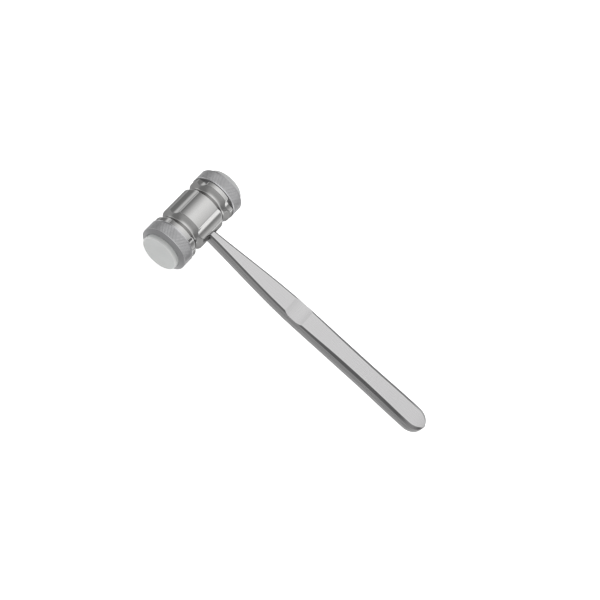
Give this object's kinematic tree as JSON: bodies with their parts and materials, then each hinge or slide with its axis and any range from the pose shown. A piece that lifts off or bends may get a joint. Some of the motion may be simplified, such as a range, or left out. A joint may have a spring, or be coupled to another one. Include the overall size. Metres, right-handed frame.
{
  "type": "surgical mallet",
  "caption": "Double-faced surgical mallet: fluted steel head, nylon striking faces clamped by knurled screw rings, and a flat tapered handle with a thumb rest.",
  "frame": {"origin": "centre of the head, where the head's axis crosses the handle's axis", "axes": "+X along the handle to its tip, +Y along the head's axis to the rear striking face, +Z out of the handle's broad side"},
  "size_m": [0.1899, 0.0608, 0.0294],
  "materials": {
    "polished_steel": "polished stainless steel, turned and fluted",
    "satin_steel": "satin-ground stainless steel with bright bevels",
    "knurled_steel": "matte stainless steel with a fine cross knurl",
    "dark_steel": "plain alloy steel set screw",
    "nylon": "turned natural white nylon"
  },
  "bodies": {
    "head": {"head_core": "polished_steel", "handle": "satin_steel", "lock_screw": "dark_steel"},
    "front_face": {"front_striking_face": "nylon"},
    "front_ring": {"front_clamp_ring": "knurled_steel"},
    "rear_face": {"rear_striking_face": "nylon"},
    "rear_ring": {"rear_clamp_ring": "knurled_steel"}
  },
  "joints": [
    {"name": "front_face_lift", "type": "slide", "parent": "head", "child": "front_face", "axis": [0, -1, 0], "range_m": [0, 0.0045]},
    {"name": "front_ring_turn", "type": "hinge", "parent": "front_face", "child": "front_ring", "pos_m": [0, -0.023, 0], "axis": [0, -1, 0], "range_deg": [0, 1080]},
    {"name": "rear_face_lift", "type": "slide", "parent": "head", "child": "rear_face", "axis": [0, 1, 0], "range_m": [0, 0.0045]},
    {"name": "rear_ring_turn", "type": "hinge", "parent": "rear_face", "child": "rear_ring", "pos_m": [0, 0.023, 0], "axis": [0, 1, 0], "range_deg": [0, 1080]}
  ],
  "couplings": [
    {"joint": "front_face_lift", "follows": "front_ring_turn", "m_per_rad": 0.00023873},
    {"joint": "rear_face_lift", "follows": "rear_ring_turn", "m_per_rad": 0.00023873}
  ]
}
